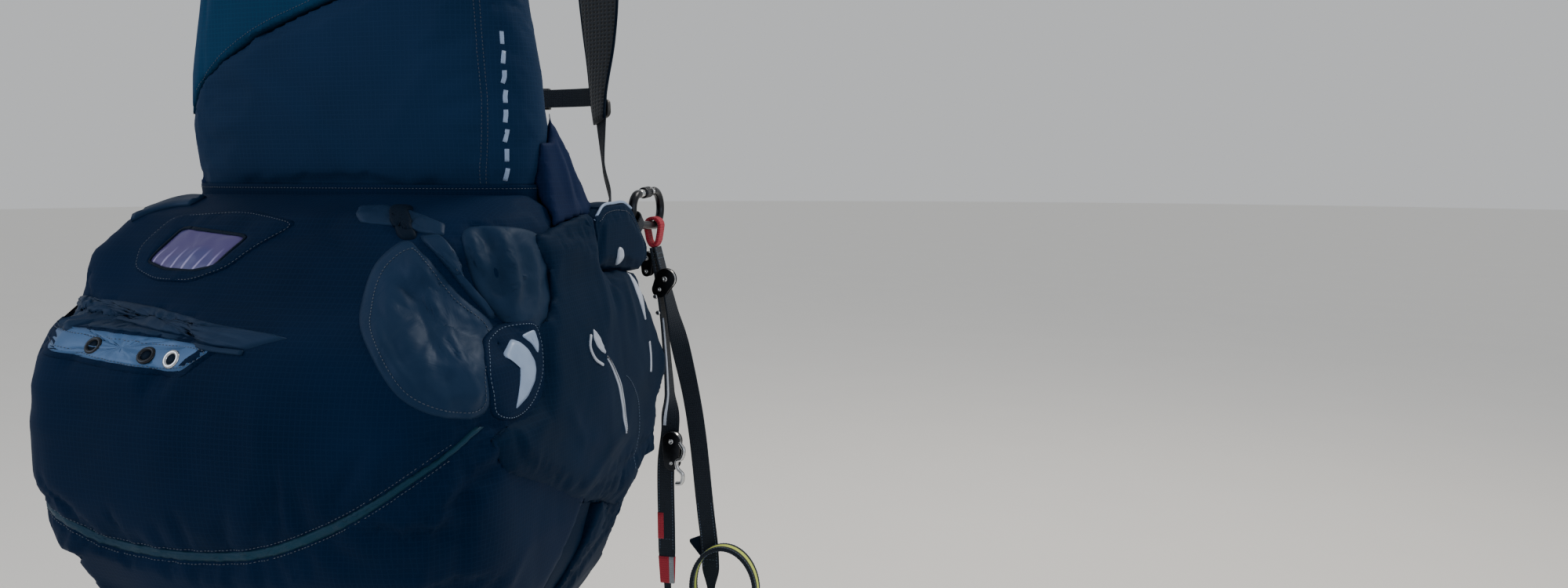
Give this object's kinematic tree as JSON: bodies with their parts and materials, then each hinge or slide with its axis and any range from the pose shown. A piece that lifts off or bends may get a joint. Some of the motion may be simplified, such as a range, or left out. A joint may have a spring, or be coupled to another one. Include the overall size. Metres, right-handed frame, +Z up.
{
  "type": "paragliding harness with risers",
  "caption": "Paragliding harness with an airbag behind the seat, shoulder, chest and leg straps, tilting carabiners with sprung gates, and hanging risers with brake handles.",
  "frame": {"origin": "midway between the two carabiners' baskets, on the plane of symmetry, where the wearer's hips are", "axes": "+X the wearer's right, +Y the wearer's front, +Z up"},
  "size_m": [0.716, 0.665, 1.0989],
  "materials": {
    "navy_fabric": "dark navy ripstop nylon, dull sheen",
    "teal_fabric": "teal ripstop nylon, dull sheen",
    "black_mesh": "black spacer mesh over foam",
    "black_webbing": "woven black polyester webbing",
    "coated_fabric": "coated grey fabric, satin",
    "pale_reflective": "pale reflective fabric",
    "red_webbing": "woven red webbing",
    "lime_webbing": "black webbing loop with a lime stripe",
    "window_film": "clear flexible film over pink fabric",
    "anodised_aluminium": "dark anodised, satin",
    "steel": "polished stainless steel",
    "dark_metal": "dark anodised pulley cheeks",
    "black_plastic": "moulded black plastic"
  },
  "bodies": {
    "harness": {"back_shell": "navy_fabric", "yoke_panel": "teal_fabric", "back_pad": "black_mesh", "seat_pad": "black_mesh", "grab_handle": "black_webbing", "airbag": "navy_fabric", "upper_container": "navy_fabric", "lid_flap": "black_webbing", "lid_window": "window_film", "eyelet_strip": "pale_reflective", "airbag_piping": "coated_fabric", "junction_strap": "coated_fabric", "scoop_petal": "coated_fabric", "scoop_pouch": "navy_fabric", "side_patch": "pale_reflective", "loop_cover_right": "navy_fabric", "loop_cover_left": "navy_fabric", "hip_panel_right": "navy_fabric", "hip_panel_left": "navy_fabric", "thigh_panel_right": "navy_fabric", "thigh_panel_left": "navy_fabric", "side_wing_right": "navy_fabric", "side_wing_left": "navy_fabric", "hang_loop_right": "black_webbing", "hang_loop_left": "black_webbing", "shoulder_strap_right": "black_webbing", "shoulder_strap_left": "black_webbing", "chest_strap": "black_webbing", "chest_buckle": "black_plastic", "leg_strap_right": "black_webbing", "leg_strap_left": "black_webbing", "leg_buckle_right": "black_plastic", "leg_buckle_left": "black_plastic"},
    "carabiner_right": {"carabiner_right": "anodised_aluminium"},
    "carabiner_left": {"carabiner_left": "anodised_aluminium"},
    "gate_right": {"carabiner_gate_right": "steel"},
    "gate_left": {"carabiner_gate_left": "steel"},
    "riser_right": {"riser_loop_right": "red_webbing", "riser_front_right": "black_webbing", "riser_rear_right": "black_webbing", "link_front_right": "steel", "link_rear_right": "steel", "speed_pulley_right": "black_plastic", "brake_pulley_right": "dark_metal", "brake_handle_right": "lime_webbing"},
    "riser_left": {"riser_loop_left": "red_webbing", "riser_front_left": "black_webbing", "riser_rear_left": "black_webbing", "link_front_left": "steel", "link_rear_left": "steel", "speed_pulley_left": "black_plastic", "brake_pulley_left": "dark_metal", "brake_handle_left": "lime_webbing"}
  },
  "joints": [
    {"name": "carabiner_tilt_right", "type": "hinge", "parent": "harness", "child": "carabiner_right", "pos_m": [0.212, -0.032, -0.01], "axis": [1, 0, 0], "range_deg": [0, 90]},
    {"name": "carabiner_tilt_left", "type": "hinge", "parent": "harness", "child": "carabiner_left", "pos_m": [-0.212, -0.032, -0.01], "axis": [1, 0, 0], "range_deg": [0, 90]},
    {"name": "gate_right", "type": "hinge", "parent": "carabiner_right", "child": "gate_right", "pos_m": [0.212, 0.012, 0.0125], "axis": [1, 0, 0], "range_deg": [0, 25], "stiffness_Nm_per_rad": 0.15, "springref_deg": -20.05},
    {"name": "gate_left", "type": "hinge", "parent": "carabiner_left", "child": "gate_left", "pos_m": [-0.212, 0.012, 0.0125], "axis": [1, 0, 0], "range_deg": [0, 25], "stiffness_Nm_per_rad": 0.15, "springref_deg": -20.05},
    {"name": "riser_swing_right", "type": "hinge", "parent": "carabiner_right", "child": "riser_right", "pos_m": [0.212, 0.022, -0.01], "axis": [1, 0, 0], "range_deg": [-2, 105]},
    {"name": "riser_swing_left", "type": "hinge", "parent": "carabiner_left", "child": "riser_left", "pos_m": [-0.212, 0.022, -0.01], "axis": [1, 0, 0], "range_deg": [-2, 105]}
  ]
}
